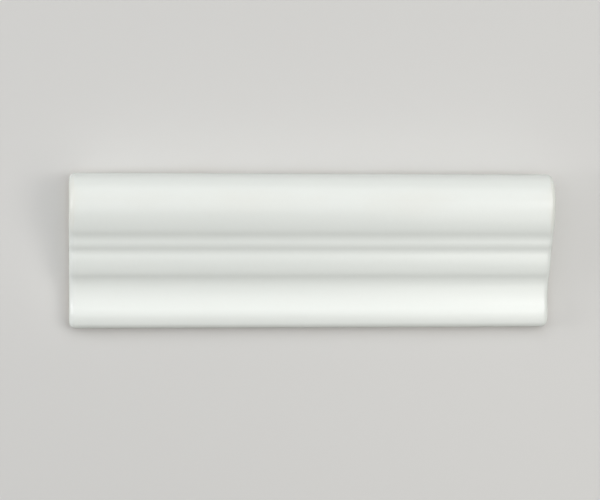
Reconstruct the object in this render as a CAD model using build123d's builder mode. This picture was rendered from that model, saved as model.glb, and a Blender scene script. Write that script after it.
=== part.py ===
from build123d import *
import os
from math import cos, radians, sin

# Ceramic moulding tile, in millimetres. It lies on its flat back with its face up.
# X runs along the wall, +Y towards the roll at the top edge, +Z out of the wall.
# The origin is the middle of the back.

# Overall
length = 200.0
projection = 24.0

# Moulded face, from the top edge down. Every member is an arc that runs on from the
# one above it: its radius, and the slope in degrees that it reaches at its lower end.
# Slopes count down from level, so a member that gets steeper bulges and one that gets
# flatter is hollow. The top edge and the roll's shoulder still climb, so their slopes
# are below zero.
top_edge_slope = -90.0
shoulder_radius = 8.8
shoulder_slope = -38.0
roll_radius = 13.3
roll_flank_radius = 24.6
roll_flank_slope = 27.0
roll_toe_radius = 11.5
roll_toe_slope = 41.5
upper_quirk_radius = 8.5
upper_quirk_slope = 17.0
bead_radius = 7.7
bead_slope = 39.5
lower_quirk_radius = 6.0
lower_quirk_slope = 9.5
ovolo_radius = 21.7
ovolo_slope = 28.0
ovolo_toe_radius = 8.8
ovolo_toe_slope = 44.0
cove_radius = 10.2
cove_slope = 13.0
apron_radius = 28.4
apron_slope = -5.0
foot_crown_radius = 11.5
foot_crown_slope = 25.0
foot_nose_radius = 3.2
foot_nose_slope = 90.0

# Edges
end_arris_radius = 2.4
back_arris = 0.5

# Hollow pressed into the back behind the roll, which the bedding mortar fills
crown_wall = 10.0
top_wall = 7.0
end_wall = 9.0
hollow_width = 16.0
hollow_corner_radius = 5.0
hollow_roof_radius = 2.5
hollow_draft = 8.0

# Key grooves in the rest of the back, which the adhesive grips
key_count = 4
key_pitch = 7.0
key_width = 4.0
key_depth = 1.2
key_draft = 25.0
foot_land = 5.5
end_land = 7.0

level = 0.0
face_members = (
    (shoulder_radius, shoulder_slope),
    (roll_radius, level),
    (roll_flank_radius, roll_flank_slope),
    (roll_toe_radius, roll_toe_slope),
    (upper_quirk_radius, upper_quirk_slope),
    (bead_radius, bead_slope),
    (lower_quirk_radius, lower_quirk_slope),
    (ovolo_radius, ovolo_slope),
    (ovolo_toe_radius, ovolo_toe_slope),
    (cove_radius, cove_slope),
    (apron_radius, apron_slope),
    (foot_crown_radius, foot_crown_slope),
    (foot_nose_radius, foot_nose_slope),
)


def member_width(radius, slope_above, slope_below):
    """Height of the face that one arc takes up."""
    return radius * abs(sin(radians(slope_below)) - sin(radians(slope_above)))


slopes_above = (top_edge_slope, *(slope for _, slope in face_members))
face_height = sum(
    member_width(radius, above, below)
    for (radius, below), above in zip(face_members, slopes_above)
)
top_edge = face_height / 2
bottom_edge = -face_height / 2

# Where the shoulder springs from the top edge
top_edge_lean = cos(radians(top_edge_slope))
shoulder_lean = cos(radians(shoulder_slope))
shoulder_rise = shoulder_radius * (shoulder_lean - top_edge_lean)
roll_rise = roll_radius * (cos(radians(level)) - shoulder_lean)
springing = projection - shoulder_rise - roll_rise

hollow_depth = projection - crown_wall
hollow_middle = top_edge - top_wall - hollow_width / 2
lowest_key = bottom_edge + foot_land + key_width / 2

with BuildPart() as tile:
    # The section, run along the wall
    with BuildSketch(Plane.YZ):
        with BuildLine():
            member_start = (top_edge, springing)
            heading = (-top_edge_lean, -sin(radians(top_edge_slope)))
            slope_reached = top_edge_slope
            for radius, slope in face_members:
                member = JernArc(member_start, heading, radius, slope - slope_reached)
                member_start = member @ 1
                heading = member % 1
                slope_reached = slope
            Polyline(member_start, (bottom_edge, 0), (top_edge, 0), (top_edge, springing))
        make_face()
    extrude(amount=length / 2, both=True)

    # Soft glazed arrises round both ends, and a light arris round the back
    for end in (tile.faces().sort_by(Axis.X)[0], tile.faces().sort_by(Axis.X)[-1]):
        back_line = end.edges().sort_by(Axis.Z)[0]
        fillet([edge for edge in end.edges() if edge != back_line], end_arris_radius)
    chamfer(tile.faces().sort_by(Axis.Z)[0].outer_wire().edges(), back_arris)

    # Hollow behind the roll
    with BuildSketch(Plane.XY):
        with Locations((0, hollow_middle)):
            RectangleRounded(length - 2 * end_wall, hollow_width, hollow_corner_radius)
    extrude(amount=hollow_depth, taper=hollow_draft, mode=Mode.SUBTRACT)
    roof = tile.faces(Select.LAST).sort_by(Axis.Z)[-1]
    fillet(roof.edges(), hollow_roof_radius)

    # Key grooves
    with BuildSketch(Plane.XY):
        for key in range(key_count):
            with Locations((0, lowest_key + key * key_pitch)):
                SlotOverall(length - 2 * end_land, key_width)
    extrude(amount=key_depth, taper=key_draft, mode=Mode.SUBTRACT)

tile.part.label = "moulding_tile"
print("face height", round(face_height, 3), "size", tile.part.bounding_box().size)
os.makedirs("parts", exist_ok=True)
export_step(tile.part, "parts/moulding_tile.step")
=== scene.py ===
import math

import bmesh
import bpy
from mathutils import Matrix, Vector, noise


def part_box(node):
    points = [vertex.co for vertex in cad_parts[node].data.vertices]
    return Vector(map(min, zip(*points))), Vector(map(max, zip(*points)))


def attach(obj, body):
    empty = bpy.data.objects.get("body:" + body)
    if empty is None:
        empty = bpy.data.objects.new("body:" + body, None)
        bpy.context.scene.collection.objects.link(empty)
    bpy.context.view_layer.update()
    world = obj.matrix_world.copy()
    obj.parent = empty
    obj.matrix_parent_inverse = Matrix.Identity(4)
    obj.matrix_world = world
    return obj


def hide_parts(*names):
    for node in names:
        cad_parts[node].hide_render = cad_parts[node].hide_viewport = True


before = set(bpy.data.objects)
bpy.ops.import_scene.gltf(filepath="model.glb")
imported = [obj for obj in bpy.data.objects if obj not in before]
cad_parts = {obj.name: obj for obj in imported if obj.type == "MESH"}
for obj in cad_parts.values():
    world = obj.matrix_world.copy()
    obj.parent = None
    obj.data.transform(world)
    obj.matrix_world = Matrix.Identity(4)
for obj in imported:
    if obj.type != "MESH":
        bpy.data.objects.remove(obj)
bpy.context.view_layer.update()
tileLow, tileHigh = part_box("moulding_tile")
tileLength = tileHigh.x - tileLow.x
print("frame loaded, tile measures", [round(side * 1000, 2) for side in tileHigh - tileLow], "mm")

# The tile lies on its back, face up: x along the wall, y up the wall, z out of the wall.
# Metres and degrees. A member of the face is an arc, (radius, slope below level at its lower end).
tile = {
    "topSlope": -90.0,         # the top edge stands upright
    "members": {
        "shoulder": (0.0088, -38.0),
        "roll": (0.0133, 0.0),
        "rollFlank": (0.0246, 27.0),
        "rollToe": (0.0115, 41.5),
        "upperQuirk": (0.0085, 17.0),
        "bead": (0.0077, 39.5),
        "lowerQuirk": (0.006, 9.5),
        "ovolo": (0.0217, 28.0),
        "ovoloToe": (0.0088, 44.0),
        "cove": (0.0102, 13.0),
        "apron": (0.0284, -5.0),
        "footCrown": (0.0115, 25.0),
        "footNose": (0.0032, 90.0),
    },
    "arcStep": 0.0005,         # longest facet round an arc
    "slices": 80,              # along the length
    "endArris": 0.0024,
    "endArrisSteps": 8,
    "backArris": 0.0005,
    "backArrisSteps": 2,
    "warp": 0.00008,           # deepest dip that firing leaves in the face
    "warpScale": 28.0,         # dips per metre
    "trueHeight": 0.004,       # dips fade out below this height, and the back stays true
    "relief": 0.0157,          # from the roll's crest down to the apron
    "crestGlazeAndLight": 0.15,        # share of the deepest glaze and its painted light on the roll's crest
    "apronGlazeAndLight": 0.85,        # and on the apron, lighter there with painted light
    "fullBend": 1000.0,        # bend per metre at which a hollow fills with glaze and an arris loses it, darkening with painted shade
    "hollow": {"width": 0.016, "topWall": 0.007, "endWall": 0.009, "depth": 0.014,
               "corner": 0.005, "draft": 8.0, "roofRound": 0.0025},
    "keys": {"count": 4, "pitch": 0.007, "footLand": 0.0055, "width": 0.004, "endWall": 0.007,
             "depth": 0.0012, "corner": 0.00199, "draft": 25.0, "roofRound": 0.0002},
    "cornerSteps": 6,          # round the corners and the roof of the hollow and the keys
    "roofSteps": 4,
    "sharpAngle": 35.0,        # edges from here on stay crisp
}
flush = 1e-6                   # points this close to a plane lie in it
cutReach = 1e-7                # a cut this close to a point goes through it
endFacing = 0.9                # least share of a normal along x on an end
flatFacing = 0.999             # and along z on a flat
claySlot = 1                   # bare clay among the tile's materials


def onlyVerts(geom):
    return [item for item in geom if isinstance(item, bmesh.types.BMVert)]


def traceSection(bm):
    start = bm.verts.new((tileLow.x, tileHigh.y, tileLow.z))
    tip = start
    slope = tile["topSlope"]
    for radius, reached in tile["members"].values():
        heading = math.radians(180 + slope)
        inward = radius if reached > slope else -radius      # a hollow member turns about a point outside
        centre = tip.co + inward * Vector((0, -math.sin(heading), math.cos(heading)))
        turn = math.radians(reached - slope)
        steps = math.ceil(radius * abs(turn) / tile["arcStep"])
        arc = bmesh.ops.spin(bm, geom=[tip], cent=centre, axis=(1, 0, 0), angle=turn, steps=steps)
        tip = onlyVerts(arc["geom_last"])[0]
        slope = reached
    crest = max(vert.co.z for vert in bm.verts)
    bmesh.ops.translate(bm, verts=bm.verts, vec=(0, 0, tileHigh.z - crest))
    foot = bmesh.ops.extrude_vert_indiv(bm, verts=[tip])["verts"][0]
    foot.co.z = tileLow.z
    heel = bmesh.ops.extrude_vert_indiv(bm, verts=[foot])["verts"][0]
    heel.co.y = tileHigh.y
    bmesh.ops.contextual_create(bm, geom=[heel, start])
    return bmesh.ops.contextual_create(bm, geom=bm.edges[:])["faces"][0]


def runSection(bm, end):
    run = bmesh.ops.extrude_face_region(bm, geom=[end])
    bmesh.ops.translate(bm, verts=onlyVerts(run["geom"]), vec=(tileLength, 0, 0))
    bmesh.ops.recalc_face_normals(bm, faces=bm.faces)


def roundEdges(bm, edges, radius, steps):
    bmesh.ops.bevel(bm, geom=edges, offset=radius, offset_type="OFFSET", affect="EDGES",
                    segments=steps, profile=0.5, material=-1, clamp_overlap=False)


def backFaces(bm):
    return [face for face in bm.faces if all(abs(vert.co.z - tileLow.z) < flush for vert in face.verts)]


def softenEdges(bm):
    ends = [face for face in bm.faces if abs(face.normal.x) > endFacing]
    rims = [edge for face in ends for edge in face.edges
            if max(vert.co.z for vert in edge.verts) > tileLow.z + flush]
    roundEdges(bm, rims, tile["endArris"], tile["endArrisSteps"])
    back = min(bm.faces, key=lambda face: face.normal.z * face.calc_area())
    roundEdges(bm, back.edges[:], tile["backArris"], tile["backArrisSteps"])
    long = [edge for edge in bm.edges if abs(edge.verts[0].co.x - edge.verts[1].co.x) > tileLength / 2]
    bmesh.ops.subdivide_edges(bm, edges=long, cuts=tile["slices"] - 1)
    bmesh.ops.dissolve_faces(bm, faces=backFaces(bm))


# Firing pulls the face in a little, unevenly, and never out
def warpFace(bm):
    bm.normal_update()
    dips = {}
    for vert in bm.verts:
        height = (vert.co.z - tileLow.z) / tile["trueHeight"]
        dip = 0.5 + 0.5 * noise.noise(vert.co * tile["warpScale"])     # from none to full
        dips[vert] = vert.normal * tile["warp"] * dip * min(1.0, height)
    for vert, dip in dips.items():
        vert.co -= dip


# Glaze runs thinly off the arrises and crests and gathers in the quirks and towards the apron; the darker
# arrises are partly painted shade and the lighter apron is partly painted light
def poolGlazeAndLight(bm):
    depth = bm.verts.layers.float.new("glazeDepthAndLight")
    gain = tile["apronGlazeAndLight"] - tile["crestGlazeAndLight"]
    bend = {}
    for vert in bm.verts:
        rays = [edge.other_vert(vert).co - vert.co for edge in vert.link_edges]
        bend[vert] = sum(2 * vert.normal.dot(ray) / ray.length_squared for ray in rays) / len(rays)
    for vert in bm.verts:
        fall = (tileHigh.z - vert.co.z) / tile["relief"]
        near = [bend[edge.other_vert(vert)] for edge in vert.link_edges]
        hollow = (bend[vert] + sum(near) / len(near)) / 2
        gatheredAndLit = tile["crestGlazeAndLight"] + gain * fall + hollow / tile["fullBend"]
        vert[depth] = min(1.0, max(0.0, gatheredAndLit))


def flatAt(bm, place):
    flats = [face for face in bm.faces if abs(face.normal.z) > flatFacing]
    return min(flats, key=lambda face: (face.calc_center_bounds() - place).length)


def cutFaces(bm, faces, place, across):
    geom = dict.fromkeys(faces)        # each item once, in the order found
    for face in faces:
        geom.update(dict.fromkeys(face.edges[:] + face.verts[:]))
    bmesh.ops.bisect_plane(bm, geom=list(geom), dist=cutReach, plane_co=place, plane_no=across)


# A blind pocket in the back with round corners, drafted walls and a soft roof
def sinkPocket(bm, middle, pocket):
    halfWidth = pocket["width"] / 2
    halfLength = tileLength / 2 - pocket["endWall"]
    mouthMiddle = Vector((0, middle, tileLow.z))
    roofMiddle = Vector((0, middle, tileLow.z + pocket["depth"]))
    for side in (-halfWidth, halfWidth):
        cutFaces(bm, backFaces(bm), (0, middle + side, tileLow.z), (0, 1, 0))
    strip = flatAt(bm, mouthMiddle)
    for side in (-halfLength, halfLength):
        cutFaces(bm, [strip], (side, 0, tileLow.z), (1, 0, 0))
        strip = flatAt(bm, mouthMiddle)
    roof = bmesh.ops.extrude_discrete_faces(bm, faces=[strip])["faces"][0]
    bmesh.ops.translate(bm, verts=roof.verts, vec=(0, 0, pocket["depth"]))
    corners = [edge for vert in roof.verts for edge in vert.link_edges if edge not in set(roof.edges)]
    roundEdges(bm, corners, pocket["corner"], tile["cornerSteps"])
    roof = flatAt(bm, roofMiddle)
    inset = pocket["depth"] * math.tan(math.radians(pocket["draft"]))
    shrink = (1 - inset / halfLength, 1 - inset / halfWidth, 1)
    bmesh.ops.scale(bm, verts=roof.verts, vec=shrink, space=Matrix.Translation(-roofMiddle))
    roundEdges(bm, roof.edges[:], pocket["roofRound"], tile["roofSteps"])


def finishMesh(bm, name):
    mesh = bpy.data.meshes.new(name)
    bm.to_mesh(mesh)
    bm.free()
    piece = bpy.data.objects.new(name, mesh)
    bpy.context.scene.collection.objects.link(piece)
    return piece


def makeTile():
    bm = bmesh.new()
    runSection(bm, traceSection(bm))
    print("section run,", len(bm.faces), "faces")
    softenEdges(bm)
    warpFace(bm)
    poolGlazeAndLight(bm)
    print("edges softened and face fired,", len(bm.faces), "faces")
    for face in backFaces(bm):
        face.material_index = claySlot         # passes on to all that is pressed into the back
    hollow = tile["hollow"]
    keys = tile["keys"]
    sinkPocket(bm, tileHigh.y - hollow["topWall"] - hollow["width"] / 2, hollow)
    lowestKey = tileLow.y + keys["footLand"] + keys["width"] / 2
    for number in range(keys["count"]):
        sinkPocket(bm, lowestKey + number * keys["pitch"], keys)
    bmesh.ops.recalc_face_normals(bm, faces=bm.faces)
    for face in bm.faces:
        face.smooth = True
    for edge in bm.edges:
        edge.smooth = edge.calc_face_angle() < math.radians(tile["sharpAngle"])
    print("back pressed,", len(bm.faces), "faces")
    piece = finishMesh(bm, "glazedTile")
    level = piece.modifiers.new("level the flats", "WEIGHTED_NORMAL")
    level.keep_sharp = True
    return piece


glazedTile = makeTile()
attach(glazedTile, "root")
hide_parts("moulding_tile")


def feed(socket, value):
    if isinstance(value, bpy.types.NodeSocket):
        socket.id_data.links.new(value, socket)
    else:
        socket.default_value = value


def addNode(tree, kind, feeds=None, **settings):
    node = tree.nodes.new(kind)
    for name, value in settings.items():
        setattr(node, name, value)
    for name, value in (feeds or {}).items():
        feed(node.inputs[name], value)
    return node


def calc(tree, operation, first, second=0.0):
    return addNode(tree, "ShaderNodeMath", {0: first, 1: second}, operation=operation).outputs[0]


def remap(tree, value, low, high, toLow=0.0, toHigh=1.0):
    feeds = {"Value": value, "From Min": low, "From Max": high, "To Min": toLow, "To Max": toHigh}
    return addNode(tree, "ShaderNodeMapRange", feeds).outputs["Result"]


def patches(tree, place, scale, detail):
    feeds = {"Vector": place, "Scale": scale, "Detail": detail}
    return addNode(tree, "ShaderNodeTexNoise", feeds).outputs["Fac"]


def blendColours(tree, share, first, second):
    # a mix node keeps its colours in sockets 6 and 7, and their blend in output 2
    feeds = {"Factor": share, 6: first, 7: second}
    return addNode(tree, "ShaderNodeMix", feeds, data_type="RGBA").outputs[2]


def blendShaders(tree, share, first, second):
    return addNode(tree, "ShaderNodeMixShader", {"Fac": share, 1: first, 2: second}).outputs["Shader"]


def newMaterial(name):
    material = bpy.data.materials.new(name)
    material.use_nodes = True
    tree = material.node_tree
    place = addNode(tree, "ShaderNodeTexCoord").outputs["Object"]
    return material, tree, tree.nodes["Principled BSDF"], place


# The fired body, bare on the back and wherever the glaze stops short of it
clay = {
    "pale": (0.78, 0.745, 0.67, 1),
    "toasted": (0.69, 0.63, 0.53, 1),
    "speck": (0.38, 0.31, 0.24, 1),
    "blotchScale": 45.0,       # patches per metre
    "blotchDetail": 4.0,
    "blotchSpread": (0.35, 0.7),               # from all pale to all toasted
    "grainScale": 1400.0,
    "grainDetail": 3.0,
    "pitScale": 420.0,
    "pitDepth": 0.5,           # as a share of the grain's
    "speckShare": 0.035,       # of the pits that hold an iron speck
    "speckFade": (0.12, 0.3),  # from a speck's core to its rim, in pits
    "relief": 0.00012,
    "heights": (0.4, 1.0),     # of the grain and the pits together, low and high
    "lowRoughness": 0.9,
    "roughness": 0.82,
}


def makeClayGroup():
    tree = bpy.data.node_groups.new("firedClay", "ShaderNodeTree")
    tree.interface.new_socket("Vector", in_out="INPUT", socket_type="NodeSocketVector")
    tree.interface.new_socket("Color", in_out="OUTPUT", socket_type="NodeSocketColor")
    tree.interface.new_socket("Height", in_out="OUTPUT", socket_type="NodeSocketFloat")
    place = addNode(tree, "NodeGroupInput").outputs["Vector"]
    blotch = patches(tree, place, clay["blotchScale"], clay["blotchDetail"])
    grain = patches(tree, place, clay["grainScale"], clay["grainDetail"])
    pits = addNode(tree, "ShaderNodeTexVoronoi", {"Vector": place, "Scale": clay["pitScale"]}).outputs
    toast = remap(tree, blotch, *clay["blotchSpread"])
    body = blendColours(tree, toast, clay["pale"], clay["toasted"])
    cell = addNode(tree, "ShaderNodeSeparateColor", {"Color": pits["Color"]}).outputs["Red"]
    spot = remap(tree, pits["Distance"], *clay["speckFade"], 1.0, 0.0)
    speck = calc(tree, "MULTIPLY", calc(tree, "LESS_THAN", cell, clay["speckShare"]), spot)
    height = calc(tree, "ADD", grain, calc(tree, "MULTIPLY", pits["Distance"], clay["pitDepth"]))
    colour = blendColours(tree, speck, body, clay["speck"])
    addNode(tree, "NodeGroupOutput", {"Color": colour, "Height": height})
    return tree


clayGroup = makeClayGroup()


def placeClay(tree, place):
    body = addNode(tree, "ShaderNodeGroup", node_tree=clayGroup)
    feed(body.inputs["Vector"], place)
    return body.outputs


def makeBareClay():
    material, tree, shader, place = newMaterial("bareClay")
    body = placeClay(tree, place)
    feed(shader.inputs["Base Color"], body["Color"])
    dryness = remap(tree, body["Height"], *clay["heights"], clay["lowRoughness"], clay["roughness"])
    feed(shader.inputs["Roughness"], dryness)
    bump = addNode(tree, "ShaderNodeBump", {"Height": body["Height"], "Distance": clay["relief"]})
    feed(shader.inputs["Normal"], bump.outputs["Normal"])
    return material


# White glaze with a faint green tint: thinnest on the arrises, darkened there with painted shade, and
# deepest on the apron, lightened there with painted light
glaze = {
    "thinShadedGlaze": (0.805, 0.825, 0.785, 1),
    "even": (0.830, 0.868, 0.845, 1),
    "deepLitGlaze": (0.882, 0.921, 0.896, 1),
    "ior": 1.5,
    "spread": (0.3, 0.7),      # the patches lie between these
    "cloudScale": 30.0,        # patches per metre
    "cloudDetail": 3.0,
    "cloud": 0.05,             # how far they stray in depth
    "roughness": 0.215,
    "roughnessStray": 0.03,
    "peelScale": 420.0,
    "peelDetail": 1.0,
    "peel": 0.000016,          # depth of the orange peel
    "bareRim": 0.0014,         # height above the back that stays unglazed on the long sides
    "bareEnd": 0.001,          # and as much more on the ends
    "rimStray": 0.0024,
    "rimScale": 55.0,
    "rimDetail": 3.0,
    "rimStep": 0.0002,         # thickness of the glaze where it stops
}


def makeGlaze():
    material, tree, shader, place = newMaterial("whiteGlaze")
    shader.inputs["IOR"].default_value = glaze["ior"]

    cloud = patches(tree, place, glaze["cloudScale"], glaze["cloudDetail"])
    stray = remap(tree, cloud, *glaze["spread"], -glaze["cloud"], glaze["cloud"])
    # glaze depth and painted light pick the colour: painted shade on the arrises, painted light towards
    # the apron
    pooledAndLit = addNode(tree, "ShaderNodeAttribute", attribute_name="glazeDepthAndLight").outputs["Fac"]
    ramp = addNode(tree, "ShaderNodeValToRGB", {"Fac": calc(tree, "ADD", pooledAndLit, stray)})
    thinShadedGlaze, deepLitGlaze = ramp.color_ramp.elements
    thinShadedGlaze.position = 0.0
    thinShadedGlaze.color = glaze["thinShadedGlaze"]
    deepLitGlaze.position = tile["apronGlazeAndLight"]
    deepLitGlaze.color = glaze["deepLitGlaze"]
    ramp.color_ramp.elements.new(tile["crestGlazeAndLight"]).color = glaze["even"]

    # where the glaze stops short of the back
    height = addNode(tree, "ShaderNodeSeparateXYZ", {"Vector": place}).outputs["Z"]
    facing = addNode(tree, "ShaderNodeNewGeometry").outputs["True Normal"]
    along = addNode(tree, "ShaderNodeSeparateXYZ", {"Vector": facing}).outputs["X"]
    endRise = calc(tree, "MULTIPLY", calc(tree, "ABSOLUTE", along), glaze["bareEnd"])
    wander = patches(tree, place, glaze["rimScale"], glaze["rimDetail"])
    highest = glaze["bareRim"] + glaze["rimStray"]
    rim = calc(tree, "ADD", endRise, remap(tree, wander, *glaze["spread"], glaze["bareRim"], highest))
    cover = remap(tree, calc(tree, "SUBTRACT", height, rim), -glaze["rimStep"], glaze["rimStep"])

    body = placeClay(tree, place)
    feed(shader.inputs["Base Color"], blendColours(tree, cover, body["Color"], ramp.outputs["Color"]))
    smoothest = glaze["roughness"] - glaze["roughnessStray"]
    roughest = glaze["roughness"] + glaze["roughnessStray"]
    gloss = remap(tree, cloud, *glaze["spread"], smoothest, roughest)
    feed(shader.inputs["Roughness"], remap(tree, cover, 0.0, 1.0, clay["roughness"], gloss))
    peel = patches(tree, place, glaze["peelScale"], glaze["peelDetail"])
    skin = addNode(tree, "ShaderNodeBump", {"Height": peel, "Distance": glaze["peel"]}).outputs["Normal"]
    lip = addNode(tree, "ShaderNodeBump", {"Height": cover, "Distance": glaze["rimStep"], "Normal": skin})
    feed(shader.inputs["Normal"], lip.outputs["Normal"])
    return material


glazedTile.data.materials.append(makeGlaze())
glazedTile.data.materials.append(makeBareClay())
print("glaze and clay mixed")

# Studio: a plain pale floor under one big soft lamp, a soft panel off each end, a small fill,
# and two slim lamps that put the glints on the end arrises
studio = {
    "floorSide": 12.0,
    "floorColour": (0.68, 0.68, 0.673, 1),
    "floorRoughness": 0.9,
    "floorDrop": 0.0001,       # keeps the floor clear of the back
    "floorFade": (0.35, 1.1),  # distances between which the floor runs into the backdrop
    "backdrop": (0.645, 0.64, 0.62, 1),
    "backdropStrength": 1.0,
    "ambient": (1.0, 0.93, 0.83, 1),
    "ambientStrength": 0.06,
    "lamps": {                 # metres and watts, all aimed at the tile
        "key": {"size": (2.4, 2.4), "place": (-0.12, 0.5, 1.5), "power": 18.8,
                "colour": (1.0, 1.0, 1.0)},
        "fill": {"size": (0.25, 0.25), "place": (0.2, -0.15, 0.37), "power": 0.2,
                 "colour": (1.0, 0.97, 0.92)},
        "leftPanel": {"size": (0.5, 0.5), "place": (-0.812, 0.296, 0.315), "power": 1.15,
                      "colour": (1.0, 1.0, 1.0)},
        "rightPanel": {"size": (0.5, 0.5), "place": (0.556, 0.202, 0.705), "power": 1.2,
                       "colour": (1.0, 0.98, 0.93)},
        "leftGlint": {"size": (0.12, 0.6), "place": (-0.834, -0.02, 0.337), "power": 1.7,
                      "colour": (1.0, 1.0, 1.0)},
        "rightGlint": {"size": (0.12, 0.6), "place": (0.522, -0.035, 0.795), "power": 1.15,
                       "colour": (1.0, 0.99, 0.96)},
    },
}


# Rays that show a backdrop, straight or in a reflection, and don't light anything with it
def seenRays(tree):
    path = addNode(tree, "ShaderNodeLightPath").outputs
    mirrored = calc(tree, "MAXIMUM", path["Is Glossy Ray"], path["Is Transmission Ray"])
    return calc(tree, "MAXIMUM", path["Is Camera Ray"], mirrored)


def makeFloor():
    bm = bmesh.new()
    bmesh.ops.create_grid(bm, x_segments=1, y_segments=1, size=studio["floorSide"] / 2,
                          matrix=Matrix.Translation((0, 0, tileLow.z - studio["floorDrop"])))
    floor = finishMesh(bm, "paleFloor")
    material, tree, shader, place = newMaterial("paleFloor")
    shader.inputs["Base Color"].default_value = studio["floorColour"]
    shader.inputs["Roughness"].default_value = studio["floorRoughness"]
    reach = addNode(tree, "ShaderNodeVectorMath", {0: place}, operation="LENGTH").outputs["Value"]
    away = calc(tree, "MULTIPLY", remap(tree, reach, *studio["floorFade"]), seenRays(tree))
    far = {"Color": studio["backdrop"], "Strength": studio["backdropStrength"]}
    glow = addNode(tree, "ShaderNodeEmission", far).outputs["Emission"]
    surface = blendShaders(tree, away, shader.outputs["BSDF"], glow)
    feed(tree.nodes["Material Output"].inputs["Surface"], surface)
    floor.data.materials.append(material)


def addLamp(name, setting):
    lamp = bpy.data.lights.new(name, "AREA")
    lamp.shape = "ELLIPSE"
    lamp.size, lamp.size_y = setting["size"]
    lamp.energy = setting["power"]
    lamp.color = setting["colour"]
    holder = bpy.data.objects.new(name, lamp)
    holder.location = setting["place"]
    holder.rotation_euler = (-holder.location).to_track_quat("-Z", "Y").to_euler()
    holder.visible_camera = False
    bpy.context.scene.collection.objects.link(holder)


def makeWorld():
    world = bpy.data.worlds.new("studio")
    bpy.context.scene.world = world
    world.use_nodes = True
    tree = world.node_tree
    soft = tree.nodes["Background"]
    soft.inputs["Color"].default_value = studio["ambient"]
    soft.inputs["Strength"].default_value = studio["ambientStrength"]
    far = {"Color": studio["backdrop"], "Strength": studio["backdropStrength"]}
    seen = addNode(tree, "ShaderNodeBackground", far).outputs["Background"]
    surface = blendShaders(tree, seenRays(tree), soft.outputs["Background"], seen)
    feed(tree.nodes["World Output"].inputs["Surface"], surface)


makeFloor()
for lampName, lampSetting in studio["lamps"].items():
    addLamp(lampName, lampSetting)
makeWorld()
bpy.context.scene.view_settings.view_transform = "Standard"
print("floor laid and lamps set")

# Straight on to the face, from near the left end
camera = {
    "place": (-0.0912, 0.00041, 0.8741),
    "turn": 5.698,             # degrees towards the right end
    "lens": 125.94,
    "sensor": 36.0,
}


def makeCamera():
    data = bpy.data.cameras.new("photoCamera")
    data.lens = camera["lens"]
    data.sensor_width = camera["sensor"]
    holder = bpy.data.objects.new("photoCamera", data)
    holder.location = camera["place"]
    holder.rotation_euler = (0, -math.radians(camera["turn"]), 0)
    bpy.context.scene.collection.objects.link(holder)
    bpy.context.scene.camera = holder


makeCamera()
print("camera placed")
